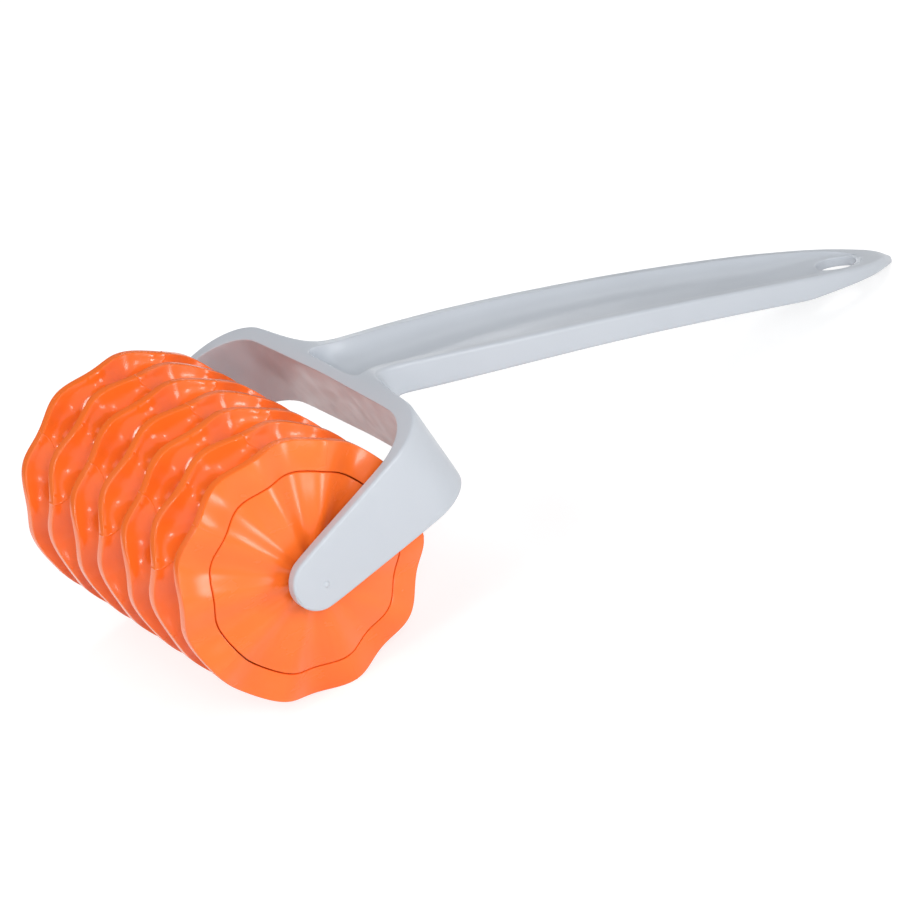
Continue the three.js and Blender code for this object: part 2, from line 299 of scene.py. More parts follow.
# Modelling by hand
def new_piece(name, place):
    """Starts a mesh as a single vertex at a place, in edit mode."""
    bpy.ops.object.select_all(action="DESELECT")
    bpy.ops.mesh.primitive_plane_add(size=MM, location=place)
    piece = bpy.context.object
    piece.name = name
    bpy.ops.object.transform_apply(location=True, rotation=False, scale=False)
    bpy.ops.object.mode_set(mode="EDIT")
    bpy.ops.mesh.select_mode(type="VERT")
    bpy.ops.mesh.select_all(action="SELECT")
    bpy.ops.mesh.merge(type="CENTER")
    bpy.ops.mesh.select_all(action="SELECT")
    return piece


def draw_on(points):
    """Extrudes the selected vertex from place to place along a list whose first place it is already at."""
    for last, following in zip(points, points[1:]):
        step = Vector(following) - Vector(last)
        bpy.ops.mesh.extrude_region_move(TRANSFORM_OT_translate={"value": step})


def select_where(piece, test):
    """Selects the vertices that pass a test of their place, and what lies between them."""
    bpy.ops.mesh.select_mode(type="VERT")
    bpy.ops.mesh.select_all(action="DESELECT")
    mesh = bmesh.from_edit_mesh(piece.data)
    for vertex in mesh.verts:
        vertex.select = test(vertex.co)
    mesh.select_flush(True)
    bmesh.update_edit_mesh(piece.data)


def round_corners(piece, corners, size, steps):
    """Bevels the profile's vertices that lie on a list of corners."""
    select_where(piece, lambda place: any((place - corner).length < NEAR for corner in corners))
    bpy.ops.mesh.bevel(offset=size, segments=steps, affect="VERTICES")


def weld():
    """Joins the vertices that lie on one place, and leaves everything selected."""
    bpy.ops.mesh.select_all(action="SELECT")
    bpy.ops.mesh.remove_doubles(threshold=NEAR)


def spin_about_axle(columns):
    """Turns the drawn profile all round the axle, into a closed piece."""
    bpy.ops.mesh.select_all(action="SELECT")
    bpy.ops.mesh.spin(steps=columns, angle=2 * math.pi, center=AXLE, axis=(0, 1, 0))
    weld()
    bpy.ops.mesh.normals_make_consistent(inside=False)
    bpy.ops.object.mode_set(mode="OBJECT")


def finish_piece(piece, material, slot, body, *nodes):
    """Shades a piece, gives it its plastic and its body, and hides the parts of model.glb that it stands
    for.
    """
    bpy.ops.object.select_all(action="DESELECT")
    piece.select_set(True)
    bpy.context.view_layer.objects.active = piece
    bpy.ops.object.shade_smooth_by_angle(angle=SMOOTH_ANGLE)
    piece.data.materials.clear()
    piece.data.materials.append(material)
    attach(piece, body)
    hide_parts(*nodes)


# Waves of the drum
def clamp(value, low, high):
    return max(low, min(high, value))


def mix(start, end, share):
    return start + (end - start) * share


def blade_swing(blade, angle):
    """How far a blade's rim swings along the axle at an angle round the drum."""
    turn = BLADE_TURNS[blade % len(BLADE_TURNS)]
    return WAVE_HEIGHT * math.cos(WAVE_COUNT * (angle - turn))


def between_blades(axial):
    """The blade before a place along the axle, and the share of the channel that lies before the place."""
    place = clamp(axial / BLADE_PITCH + (BLADE_COUNT - 1) / 2, 0, BLADE_COUNT - 1)
    blade = min(int(place), BLADE_COUNT - 2)
    half_land = BLADE_LAND / BLADE_PITCH / 2
    return blade, clamp((place - blade - half_land) / (1 - 2 * half_land), 0, 1)


def drum_swing(axial, angle, radius):
    """How far a place swings along the axle, which is most at the rims and nothing at the axle."""
    blade, share = between_blades(axial)
    return mix(blade_swing(blade, angle), blade_swing(blade + 1, angle), share) * radius / DRUM_RADIUS


def channel_swell(axial, angle):
    """How many times as deep a channel is, where the waves widen or narrow it."""
    blade, share = between_blades(axial)
    if share in (0, 1):
        return 1
    return 1 + CHANNEL_SWELL * (blade_swing(blade + 1, angle) - blade_swing(blade, angle)) / CHANNEL_WIDTH


def parting_turn(axial):
    """How far the parting lines are turned at a place along the axle."""
    blade, share = between_blades(axial)
    onwards = share if blade % 2 == 0 else 1 - share
    return PARTING_TURN + PARTING_ZIGZAG * onwards


def end_face(radius):
    """How far the end face lies from the drum's middle, as it rises towards the axle in a shallow cone."""
    return DRUM_LENGTH / 2 + END_SLOPE * (RIM_RADIUS - radius)


def on_profile(radius, axial):
    """A place on a profile that will be turned, at a distance from the axle's middle along it."""
    return AXLE + Vector((radius, axial, 0))


def drum_profile():
    """The drum's wall in section: its places in order, and the corners of the rims and of the seams."""
    end = end_face(SEAT_RADIUS)
    seat = CAP_BACK - SEAM_GAP
    places = [(BORE_RADIUS, -seat), (SEAT_RADIUS, -seat), (SEAT_RADIUS, -end)]
    rims = []
    for blade in range(BLADE_COUNT):
        centre = (blade - (BLADE_COUNT - 1) / 2) * BLADE_PITCH
        land = [(RIM_RADIUS, centre - BLADE_LAND / 2), (RIM_RADIUS, centre + BLADE_LAND / 2)]
        rims += land
        places += land
        if blade < BLADE_COUNT - 1:
            middle = centre + BLADE_PITCH / 2
            for step in range(1, CHANNEL_STEPS):
                angle = math.pi * step / CHANNEL_STEPS
                depth = CHANNEL_DEPTH * math.sin(angle)
                places.append((DRUM_RADIUS - depth, middle - CHANNEL_WIDTH / 2 * math.cos(angle)))
    seams = [(SEAT_RADIUS, -end), (SEAT_RADIUS, end)]
    places += [(SEAT_RADIUS, end), (SEAT_RADIUS, seat), (BORE_RADIUS, seat), (BORE_RADIUS, -seat)]
    return places, rims, seams


def column_turn(column):
    """How far a column of vertices is turned from the first parting line, and whether it is such a line."""
    parting, step = divmod(column, COLUMNS_PER_PARTING)
    if step < FIRST_EVEN_COLUMN:
        within = step * PARTING_NEAR
    elif step > LAST_EVEN_COLUMN:
        within = PARTING_SECTOR - PARTING_NEAR
    else:
        share = (step - FIRST_EVEN_COLUMN) / (LAST_EVEN_COLUMN - FIRST_EVEN_COLUMN)
        within = mix(PARTING_FAR, PARTING_SECTOR - PARTING_FAR, share)
    return parting * PARTING_SECTOR + within, step == 0


def wave_drum(piece):
    """Swings the blades along the axle, and lets every parting line run on its own column of vertices."""
    lines = []
    for vertex in piece.data.vertices:
        place = vertex.co - AXLE
        radius = math.hypot(place.x, place.z)
        turn = math.atan2(place.z, place.x) % (2 * math.pi)
        start, is_line = column_turn(round(turn / PARTING_SECTOR * COLUMNS_PER_PARTING))
        angle = start + parting_turn(place.y)
        is_carved = radius > SEAT_RADIUS + NEAR
        is_outside = is_carved or abs(place.y) > CAP_BACK
        if is_line and radius > SEAT_RADIUS + SEAM_GAP:
            lines.append(vertex.index)
        if is_carved:
            radius = DRUM_RADIUS - (DRUM_RADIUS - radius) * channel_swell(place.y, angle)
        swing = drum_swing(place.y, angle, radius) if is_outside else 0
        vertex.co = AXLE + Vector((radius * math.cos(angle), place.y + swing, radius * math.sin(angle)))
    piece.data.update()
    raised = [(index, piece.data.vertices[index].normal.copy()) for index in lines]
    for index, normal in raised:
        piece.data.vertices[index].co += normal * PARTING_HEIGHT


def roller_drum(material):
    places, rims, seams = drum_profile()
    points = [on_profile(*place) for place in places]
    piece = new_piece("drum_with_wavy_blades", points[0])
    draw_on(points)
    weld()
    round_corners(piece, [on_profile(*place) for place in rims], BLADE_EDGE, BLADE_EDGE_STEPS)
    round_corners(piece, [on_profile(*place) for place in seams], SEAM_EDGE, SMALL_EDGE_STEPS)
    spin_about_axle(PARTING_COUNT * COLUMNS_PER_PARTING)
    wave_drum(piece)
    finish_piece(piece, material, "orange_plastic", "roller", "roller_drum")


def turned_piece(name, side, places, edges, edge_size, columns):
    """Turns a section about the axle, at one side of the roller, with some of its corners rounded."""
    points = [on_profile(radius, side * axial) for radius, axial in places]
    piece = new_piece(name, points[0])
    draw_on(points)
    corners = [on_profile(radius, side * axial) for radius, axial in edges]
    round_corners(piece, corners, edge_size, SMALL_EDGE_STEPS)
    spin_about_axle(columns)
    return piece


def end_cap(name, node, side, material):
    """A fluted disc with a spigot for the drum's bore and a blind hub for the stub pin."""
    spigot = BORE_RADIUS - SEAM_GAP
    spigot_end = CAP_BACK - SPIGOT_LENGTH
    pin_seat = PIN_RADIUS + PIN_GAP
    hub = pin_seat + HUB_WALL
    pin_floor = PIN_END - PIN_END_GAP
    rim = (CAP_RADIUS, end_face(CAP_RADIUS))
    mouth = (pin_seat, end_face(pin_seat))
    places = [
        (0, pin_floor - HUB_FLOOR), (hub, pin_floor - HUB_FLOOR), (hub, CAP_BACK),
        (spigot - SPIGOT_WALL, CAP_BACK), (spigot - SPIGOT_WALL, spigot_end),
        (spigot, spigot_end), (spigot, CAP_BACK), (CAP_RADIUS, CAP_BACK),
        rim, mouth, (pin_seat, pin_floor), (0, pin_floor),
    ]
    piece = turned_piece(name, side, places, (rim, mouth), SEAM_EDGE, CAP_COLUMNS)
    for vertex in piece.data.vertices:
        place = vertex.co - AXLE
        if side * place.y > CAP_BACK + CAP_THICKNESS / 2:
            radius = math.hypot(place.x, place.z)
            angle = math.atan2(place.z, place.x)
            vertex.co.y += drum_swing(place.y, angle, radius)
    finish_piece(piece, material, "orange_plastic", "roller", node)


# Fork and handle
def leaned(along, across, above):
    """A place in the fork's plane, which leans up from the axle."""
    return AXLE + Vector((
        along * math.cos(FORK_LEAN) - above * math.sin(FORK_LEAN),
        across,
        along * math.sin(FORK_LEAN) + above * math.cos(FORK_LEAN),
    ))


def bezier(points, share):
    """A place on the curve that a list of 2D control points gives."""
    while len(points) > 1:
        points = [Vector(a).lerp(Vector(b), share) for a, b in zip(points, points[1:])]
    return points[0]


def bezier_at(points, along):
    """The second coordinate of a curve where its first one is at a place along it."""
    low, high = 0.0, 1.0
    rising = points[-1][0] > points[0][0]
    for _ in range(CURVE_HALVINGS):
        middle = (low + high) / 2
        if (bezier(points, middle)[0] < along) == rising:
            low = middle
        else:
            high = middle
    return bezier(points, (low + high) / 2)[1]


def arch(start, end, rise):
    """Control points of a curve that rises so far above the middle of its chord."""
    middle = (Vector(start) + Vector(end)) / 2
    return [start, (middle.x, middle.y + 2 * rise), end]


def flat(place):
    """A place's distance from the axle along the handle, and its height above it."""
    return place.x - AXLE.x, place.z - AXLE.z


def rail_top(along):
    """The height of the handle's rails above the axle."""
    root = flat(leaned(CROSSBAR_BACK, 0, CROSSBAR_TOP))
    nose = (TIP_REACH - NOSE_TOP_FROM_TIP, TABLE_FROM_AXLE + NOSE_TOP_HEIGHT)
    tip = (TIP_REACH, TABLE_FROM_AXLE + NOSE_TIP_HEIGHT)
    if along <= nose[0]:
        return bezier_at(arch(root, nose, TOP_ARCH_RISE), along)
    return bezier_at([nose, (TIP_REACH, (nose[1] + tip[1]) / 2), tip], along)


def underside(along):
    """The height of the handle's underside above the axle, by way of its keel to its foot on the table."""
    root = flat(leaned(CROSSBAR_BACK, 0, CROSSBAR_TOP - HANDLE_ROOT_HEIGHT))
    keel = (KEEL, TABLE_FROM_AXLE + KEEL_HEIGHT)
    slope = (TIP_REACH - KEEL_SLOPE_FROM_TIP, TABLE_FROM_AXLE + KEEL_SLOPE_HEIGHT)
    foot = (TIP_REACH - FOOT_FROM_TIP, TABLE_FROM_AXLE)
    if along <= keel[0]:
        return bezier_at(arch(root, keel, UNDER_ARCH_RISE), along)
    if along <= foot[0]:
        return bezier_at([keel, slope, foot], along)
    return mix(TABLE_FROM_AXLE, TABLE_FROM_AXLE + NOSE_TIP_HEIGHT, (along - foot[0]) / FOOT_FROM_TIP)


def root_fillet(along):
    """How far the underside dips where it runs out into the crossbar's back."""
    return ROOT_FILLET * clamp(1 - (along - NECK_ROOT) / ROOT_FILLET_RUN, 0, 1) ** 2


def leaf_half_width(along, inset, side, tip):
    """Half the width of the handle from above, drawn in by a wall for its trough.

    Past the belly it runs by a place at the side to the tip.
    """
    neck = NECK_HALF_WIDTH - inset
    neck_end = NECK_ROOT + NECK_FILLET_RADIUS
    belly = (CROSSBAR_BACK + BELLY_FROM_CROSSBAR, BELLY_HALF_WIDTH - inset)
    if along < neck_end:
        root = NECK_SPREAD if inset == 0 else neck + TROUGH_CORNER_FLARE
        return bezier_at([(NECK_ROOT, root), (NECK_ROOT, neck), (neck_end, neck)], along)
    if along < belly[0]:
        return bezier_at([(neck_end, neck), (belly[0] - BELLY_LEAD_IN, belly[1]), belly], along)
    return bezier_at([belly, (belly[0] + BELLY_RUN_OUT, belly[1]), side, (tip, NOSE_HALF_WIDTH)], along)


def outer_half_width(along):
    return leaf_half_width(along, 0, (TIP_REACH - NOSE_SIDE_FROM_TIP, NOSE_SIDE_HALF_WIDTH), TIP_REACH)


def trough_half_width(along):
    return leaf_half_width(along, RAIL_WIDTH, (TROUGH_END, TROUGH_SIDE_HALF_WIDTH), TROUGH_END)


def rounded_corner(before, corner, after, radius, steps):
    """Places on the arc that rounds a corner of a plan outline."""
    corner = Vector(corner)
    to_before = (Vector(before) - corner).normalized()
    to_after = (Vector(after) - corner).normalized()
    half = to_before.angle(to_after) / 2
    centre = corner + (to_before + to_after).normalized() * (radius / math.sin(half))
    start = corner + to_before * (radius / math.tan(half)) - centre
    turn = start.angle_signed(corner + to_after * (radius / math.tan(half)) - centre)
    return [centre + Matrix.Rotation(-turn * step / steps, 2) @ start for step in range(steps + 1)]


def on_arm(along, offset):
    """A place in plan, so far outside the inner face of an arm."""
    return along, ARM_HALF + offset - ARM_SPLAY * along


def crossbar_front(across, draft):
    """A place in plan on the crossbar's inner face, which leans towards the drum by the draft."""
    return AXLE_TO_CROSSBAR - draft + CROSSBAR_BOW * (1 - across / CROSSBAR_HALF), across


def crossbar_back(across):
    """A place in plan on the crossbar's outer face."""
    return CROSSBAR_END + CROSSBAR_BACK_BOW * (1 - across / CROSSBAR_OUTER_HALF), across


def inner_plan(draft):
    """Places along half of the inside of the fork's U, from its middle to the arm's end."""
    places = [crossbar_front(across, draft) for across in FORK_COLUMNS]
    places += rounded_corner(
        crossbar_front(0, draft), on_arm(AXLE_TO_CROSSBAR - draft, 0), on_arm(0, 0),
        FORK_CORNER_RADIUS, CORNER_STEPS)
    return places + [on_arm(along, 0) for along in ARM_COLUMNS]


def outer_plan():
    """Places along half of the outside, below the handle's underside."""
    places = [crossbar_back(across) for across in FORK_COLUMNS]
    places += rounded_corner(
        crossbar_back(0), on_arm(CROSSBAR_END, ARM_THICKNESS), on_arm(0, ARM_THICKNESS),
        FORK_OUTER_CORNER_RADIUS, CORNER_STEPS)
    return places + [on_arm(along, ARM_THICKNESS) for along in ARM_COLUMNS]


def band_section(inner_top, inner, outer_high, outer_low, inset=0):
    """The band's section as a ring, from its inner top edge over the outside to its inner bottom edge."""
    def top(place):
        return mix(ARM_TOP_AT_AXLE, CROSSBAR_TOP, place[0] / CROSSBAR_BACK) - inset

    def bottom(place):
        return mix(ARM_BOTTOM_AT_AXLE, CROSSBAR_BOTTOM, place[0] / CROSSBAR_BACK) + inset

    band_height = CROSSBAR_TOP - CROSSBAR_BOTTOM
    floor_share = (HANDLE_ROOT_HEIGHT - FLOOR_THICKNESS) / band_height
    under_share = (HANDLE_ROOT_HEIGHT + ROOT_FILLET) / band_height
    return [
        leaned(*inner_top, top(inner_top)),
        leaned(*outer_high, top(outer_high)),
        leaned(*outer_high, mix(top(outer_high), bottom(outer_high), floor_share)),
        leaned(*outer_low, mix(top(outer_low), bottom(outer_low), under_share)),
        leaned(*outer_low, bottom(outer_low)),
        leaned(*inner, bottom(inner)),
    ]


def fork_sections():
    """The fork's sections from its middle, where the trough's front wall takes the place of its back."""
    low = outer_plan()
    high = [(TROUGH_FRONT, across) for across in TROUGH_COLUMNS] + low[len(TROUGH_COLUMNS):]
    plans = zip(inner_plan(CROSSBAR_DRAFT), inner_plan(0), high, low)
    sections = [band_section(*places) for places in plans]
    for step in range(1, ARM_END_STEPS + 1):
        angle = math.pi / 2 * step / ARM_END_STEPS
        along = ARM_END_RADIUS - ARM_END_REACH - ARM_END_RADIUS * math.sin(angle)
        inset = ARM_END_RADIUS * (1 - math.cos(angle))
        inner = on_arm(along, 0)
        outer = on_arm(along, ARM_THICKNESS)
        sections.append(band_section(inner, inner, outer, outer, inset))
    return sections


def handle_section(along, slot=SLOT_HALF_WIDTH, bulge=0):
    """Half of the handle's section, from the middle of the trough's floor round to the middle underneath.

    The places in the middle bulge along the handle, where they lie on the end of the slot.
    """
    outer = outer_half_width(along)
    top = rail_top(along)
    under = underside(along) - root_fillet(along)
    if along < TROUGH_END:
        inner = trough_half_width(along)
        floor = underside(along) + FLOOR_THICKNESS
        slot = min(slot, INNER_SHARE * inner)
        bend = (TROUGH_BEND * inner, mix(floor, top, TROUGH_BEND_LIFT))
        hollow = [(0, floor), (slot, floor), bend, (inner, top)]
    else:
        inner = min(TROUGH_END_HALF_WIDTH + (along - TROUGH_END), INNER_SHARE * outer)
        slot = inner / NOSE_COLUMNS
        hollow = [(inner * column / NOSE_COLUMNS, top) for column in range(NOSE_COLUMNS + 1)]
    shelf = mix(top, under, 1 - FLOOR_THICKNESS / HANDLE_ROOT_HEIGHT)
    side = [(outer, top), (outer, shelf), (outer, under)]
    below = [(inner, under), (slot, under), (0, under)]
    lean = math.tan(FORK_LEAN) * clamp(1 - (along - NECK_ROOT) / LEAN_FADE, 0, 1)
    ring = []
    for across, above in hollow + side + below:
        ring.append(AXLE + Vector((along + lean * (top - above), across, above)))
    ring[0].x += bulge
    ring[-1].x += bulge
    return ring


def handle_sections():
    """The handle's sections from its neck to its tip, and which of them hold the slot."""
    fillet = [NECK_ROOT + NECK_FILLET_RADIUS * share for share in NECK_STATIONS]
    grip_start = NECK_ROOT + 2 * NECK_FILLET_RADIUS
    grip = [mix(grip_start, KEEL - KEEL_SHARPNESS, step / GRIP_STEPS) for step in range(GRIP_STEPS + 1)]
    keel = [KEEL, KEEL + KEEL_SHARPNESS]
    nose = [TIP_REACH - TROUGH_FROM_TIP * share for share in NOSE_STATIONS]
    diagonal = HOLE_RING * math.cos(math.pi / 4)
    bulge = (HOLE_RING - diagonal) * SLOT_HALF_LENGTH
    slot_reach = diagonal * SLOT_HALF_LENGTH
    slot = [
        handle_section(SLOT_MIDDLE - slot_reach, diagonal * SLOT_HALF_WIDTH, -bulge),
        handle_section(SLOT_MIDDLE, HOLE_RING * SLOT_HALF_WIDTH),
        handle_section(SLOT_MIDDLE + slot_reach, diagonal * SLOT_HALF_WIDTH, bulge),
    ]
    before = [handle_section(along) for along in fillet + grip + keel]
    after = [handle_section(along) for along in nose]
    return before + slot + after, slot


def extrude_to(piece, sources, targets):
    """Extrudes the selected edges and moves each new vertex from its source to its target."""
    bpy.ops.mesh.extrude_region_move(TRANSFORM_OT_translate={"value": (0, 0, 0)})
    mesh = bmesh.from_edit_mesh(piece.data)
    fresh = [vertex for vertex in mesh.verts if vertex.select]
    for source, target in zip(sources, targets):
        vertex = min(fresh, key=lambda one: (one.co - source).length)
        fresh.remove(vertex)
        vertex.co = target
    bmesh.update_edit_mesh(piece.data)


def select_faces(piece, outlines):
    """Selects the faces whose corners' mean place is that of one of the outlines."""
    bpy.ops.mesh.select_mode(type="FACE")
    bpy.ops.mesh.select_all(action="DESELECT")
    middles = [sum(outline, Vector()) / len(outline) for outline in outlines]
    mesh = bmesh.from_edit_mesh(piece.data)
    for face in mesh.faces:
        centre = sum((vertex.co for vertex in face.verts), Vector()) / len(face.verts)
        face.select = any((centre - middle).length < NEAR for middle in middles)
    mesh.select_flush_mode()
    bmesh.update_edit_mesh(piece.data)


def select_chains(piece, *chains):
    """Selects the edges that join neighbours in lists of places."""
    bpy.ops.mesh.select_mode(type="EDGE")
    bpy.ops.mesh.select_all(action="DESELECT")
    middles = [(a + b) / 2 for chain in chains for a, b in zip(chain, chain[1:])]
    mesh = bmesh.from_edit_mesh(piece.data)
    for edge in mesh.edges:
        centre = (edge.verts[0].co + edge.verts[1].co) / 2
        edge.select = any((centre - middle).length < NEAR for middle in middles)
    mesh.select_flush_mode()
    bmesh.update_edit_mesh(piece.data)


def bevel_ridges(piece, size, steps, is_chosen):
    """Rounds the chosen outward edges that are sharp, but not those of the nose, which rounds by itself."""
    bpy.ops.mesh.select_mode(type="EDGE")
    bpy.ops.mesh.select_all(action="DESELECT")
    nose = AXLE.x + TROUGH_END + TROUGH_FROM_TIP / 2
    mesh = bmesh.from_edit_mesh(piece.data)
    for edge in mesh.edges:
        ridge = edge.is_manifold and edge.calc_face_angle_signed() > RIDGE_ANGLE
        edge.select = ridge and max(vertex.co.x for vertex in edge.verts) < nose and is_chosen(edge)
    mesh.select_flush_mode()
    bmesh.update_edit_mesh(piece.data)
    bpy.ops.mesh.bevel(offset=size, segments=steps, affect="EDGES", clamp_overlap=False)


def other_side(places):
    """The same places on the other side of the roller."""
    return [Vector((place.x, -place.y, place.z)) for place in places]


def outer_corners(sections, grips):
    """The cage's corners on the outside of the fork and of the handle, on both sides."""
    corners = []
    for section in sections[len(TROUGH_COLUMNS):]:
        corners += section[BAND_TOP:BAND_BOTTOM + 1]
    for grip in grips:
        corners += grip[RAIL_TOP:RAIL_UNDER + 1]
    return corners + other_side(corners)


def front_wall_foot(middle, beside, rail):
    """The inward edges of the trough's front wall, at the floor and at the corner, on both sides."""
    foot = [middle[BAND_FLOOR], beside[BAND_FLOOR], rail[BAND_FLOOR], rail[BAND_TOP]]
    return foot, other_side(foot)


def apply_modifier(piece, kind, **settings):
    modifier = piece.modifiers.new(kind.lower(), kind)
    for name, value in settings.items():
        setattr(modifier, name, value)
    bpy.ops.object.modifier_apply(modifier=modifier.name)


def stub_pin(side):
    """A shoulder that keeps the drum clear of the arm, and the pin that turns in the cap's hub."""
    root = ARM_HALF + ARM_THICKNESS / 2
    face = end_face(PIN_RADIUS) + WAVE_HEIGHT * (SHOULDER_RADIUS / DRUM_RADIUS) + END_PLAY
    shoulder = (SHOULDER_RADIUS, face)
    pin = (PIN_RADIUS, PIN_END)
    places = [(0, root), (SHOULDER_RADIUS, root), shoulder, (PIN_RADIUS, face), pin, (0, PIN_END)]
    return turned_piece("stub_pin", side, places, (shoulder, pin), PIN_EDGE, PIN_COLUMNS)


def nub(side):
    """The small round mark on the arm's outer face, over the stub pin."""
    dome = (NUB_RADIUS ** 2 + NUB_HEIGHT ** 2) / (2 * NUB_HEIGHT)
    along, across = on_arm(0, ARM_THICKNESS + NUB_HEIGHT - dome)
    bpy.ops.object.select_all(action="DESELECT")
    bpy.ops.mesh.primitive_uv_sphere_add(
        segments=PIN_COLUMNS, ring_count=PIN_COLUMNS // 2, radius=dome,
        location=leaned(along, side * across, 0))
    piece = bpy.context.object
    bpy.ops.object.transform_apply(location=True, rotation=False, scale=False)
    return piece


def join_to(piece, other):
    """Makes one body of two that reach into each other."""
    bpy.ops.object.select_all(action="DESELECT")
    bpy.context.view_layer.objects.active = piece
    apply_modifier(piece, "BOOLEAN", operation="UNION", solver="EXACT", object=other)
    bpy.data.objects.remove(other)


def loft(piece, rings):
    """Extrudes the selected edges from ring to ring, and closes the last one."""
    for sources, targets in zip(rings, rings[1:]):
        extrude_to(piece, sources, targets)
    bpy.ops.mesh.edge_face_add()


def open_back(piece, middle, beside, rail, neck):
    """Takes away the fork's back where the handle grows out of it, and gives the ring round the opening."""
    columns = (middle, beside, rail, neck)
    faces = [(rail[BAND_TOP], neck[BAND_TOP], neck[BAND_FLOOR], rail[BAND_FLOOR])]
    for a, b in zip(columns, columns[1:]):
        faces.append((a[BAND_FLOOR], b[BAND_FLOOR], b[BAND_UNDER], a[BAND_UNDER]))
    select_faces(piece, faces)
    bpy.ops.mesh.delete(type="FACE")
    floor = [middle[BAND_FLOOR], beside[BAND_FLOOR], rail[BAND_FLOOR]]
    side = [rail[BAND_TOP], neck[BAND_TOP], neck[BAND_FLOOR], neck[BAND_UNDER]]
    under = [rail[BAND_UNDER], beside[BAND_UNDER], middle[BAND_UNDER]]
    return floor + side + under


def cut_slot(piece, start, half_way, end):
    """Opens the floor and the underside between three sections, and joins the two openings."""
    faces = []
    for a, b in ((start, half_way), (half_way, end)):
        faces.append((a[0], a[1], b[1], b[0]))
        faces.append((a[-1], a[-2], b[-2], b[-1]))
    select_faces(piece, faces)
    bpy.ops.mesh.delete(type="FACE")
    upper = [start[0], start[1], half_way[1], end[1], end[0]]
    lower = [start[-1], start[-2], half_way[-2], end[-2], end[-1]]
    select_chains(piece, upper, lower)
    bpy.ops.mesh.bridge_edge_loops()


def round_edges(piece, sections, grips):
    """Creases the foot of the trough's front wall, and bevels the edges of the cage."""
    outside = outer_corners(sections, grips)
    select_chains(piece, *front_wall_foot(*sections[:len(TROUGH_COLUMNS)]))
    bpy.ops.transform.edge_crease(value=TROUGH_FRONT_CREASE)

    def is_outside(edge):
        return all(any((vertex.co - corner).length < NEAR for corner in outside) for vertex in edge.verts)

    bevel_ridges(piece, INNER_EDGE, INNER_EDGE_STEPS, lambda edge: not is_outside(edge))
    bevel_ridges(piece, OUTER_EDGE, OUTER_EDGE_STEPS, is_outside)


def fork_and_handle(material):
    """Half of a cage for the fork, from which the handle grows, is mirrored and then smoothed."""
    sections = fork_sections()
    piece = new_piece("fork_with_handle", sections[0][0])
    draw_on(sections[0] + sections[0][:1])
    weld()
    loft(piece, sections)
    root = open_back(piece, *sections[:len(FORK_COLUMNS)])
    stations, slot = handle_sections()
    grips = [root] + stations
    select_chains(piece, root)
    loft(piece, grips)
    cut_slot(piece, *slot)
    bpy.ops.object.mode_set(mode="OBJECT")
    apply_modifier(piece, "MIRROR", use_axis=(False, True, False), merge_threshold=NEAR)
    bpy.ops.object.mode_set(mode="EDIT")
    bpy.ops.mesh.select_all(action="SELECT")
    bpy.ops.mesh.normals_make_consistent(inside=False)
    round_edges(piece, sections, grips)
    bpy.ops.object.mode_set(mode="OBJECT")
    apply_modifier(piece, "SUBSURF", levels=SMOOTHING_LEVELS, render_levels=SMOOTHING_LEVELS)
    for side in (-1, 1):
        join_to(piece, stub_pin(side))
        join_to(piece, nub(side))
    finish_piece(piece, material, "grey_plastic", "handle", "fork_handle")


# Materials
def new_material(name):
    material = bpy.data.materials.new(name)
    material.use_nodes = True
    return material, material.node_tree.nodes["Principled BSDF"]


def new_noise(nodes, links, coordinates, scale, detail):
    noise = nodes.new("ShaderNodeTexNoise")
    noise.inputs["Scale"].default_value = scale
    noise.inputs["Detail"].default_value = detail
    links.new(coordinates, noise.inputs["Vector"])
    return noise.outputs["Fac"]


def spread(nodes, links, value, low, high):
    """Maps the middle of a noise's range to a range of values."""
    range_node = nodes.new("ShaderNodeMapRange")
    range_node.inputs["From Min"].default_value = NOISE_LOW
    range_node.inputs["From Max"].default_value = NOISE_HIGH
    links.new(value, range_node.inputs["Value"])
    for name, end in (("To Min", low), ("To Max", high)):
        if isinstance(end, float):
            range_node.inputs[name].default_value = end
        else:
            links.new(end, range_node.inputs[name])
    return range_node.outputs["Result"]


def moulded_surface():
    """Shared by the plastics: a cloudy colour, a gloss that is dulled in places, and a fine mould grain."""
    group = bpy.data.node_groups.new("moulded_surface", "ShaderNodeTree")
    sockets = group.interface
    for name in ("Colour", "Cloud Colour"):
        sockets.new_socket(name, in_out="INPUT", socket_type="NodeSocketColor")
    for name in ("Gloss Roughness", "Rubbed Roughness"):
        sockets.new_socket(name, in_out="INPUT", socket_type="NodeSocketFloat")
    sockets.new_socket("Colour", in_out="OUTPUT", socket_type="NodeSocketColor")
    for name in ("Roughness", "Height"):
        sockets.new_socket(name, in_out="OUTPUT", socket_type="NodeSocketFloat")
    nodes = group.nodes
    links = group.links
    given = nodes.new("NodeGroupInput")
    result = nodes.new("NodeGroupOutput")
    place = nodes.new("ShaderNodeTexCoord").outputs["Object"]

    clouds = spread(nodes, links, new_noise(nodes, links, place, CLOUD_SCALE, CLOUD_DETAIL), 0.0, 1.0)
    colour = nodes.new("ShaderNodeMix")
    colour.data_type = "RGBA"
    links.new(clouds, colour.inputs["Factor"])
    links.new(given.outputs["Colour"], colour.inputs["A"])
    links.new(given.outputs["Cloud Colour"], colour.inputs["B"])
    links.new(colour.outputs["Result"], result.inputs["Colour"])

    stretched = nodes.new("ShaderNodeMapping")
    stretched.inputs["Scale"].default_value = RUB_STRETCH
    links.new(place, stretched.inputs["Vector"])
    rubbed = new_noise(nodes, links, stretched.outputs["Vector"], RUB_SCALE, RUB_DETAIL)
    roughness = spread(
        nodes, links, rubbed, given.outputs["Gloss Roughness"], given.outputs["Rubbed Roughness"])
    links.new(roughness, result.inputs["Roughness"])

    links.new(new_noise(nodes, links, place, GRAIN_SCALE, GRAIN_DETAIL), result.inputs["Height"])
    return group


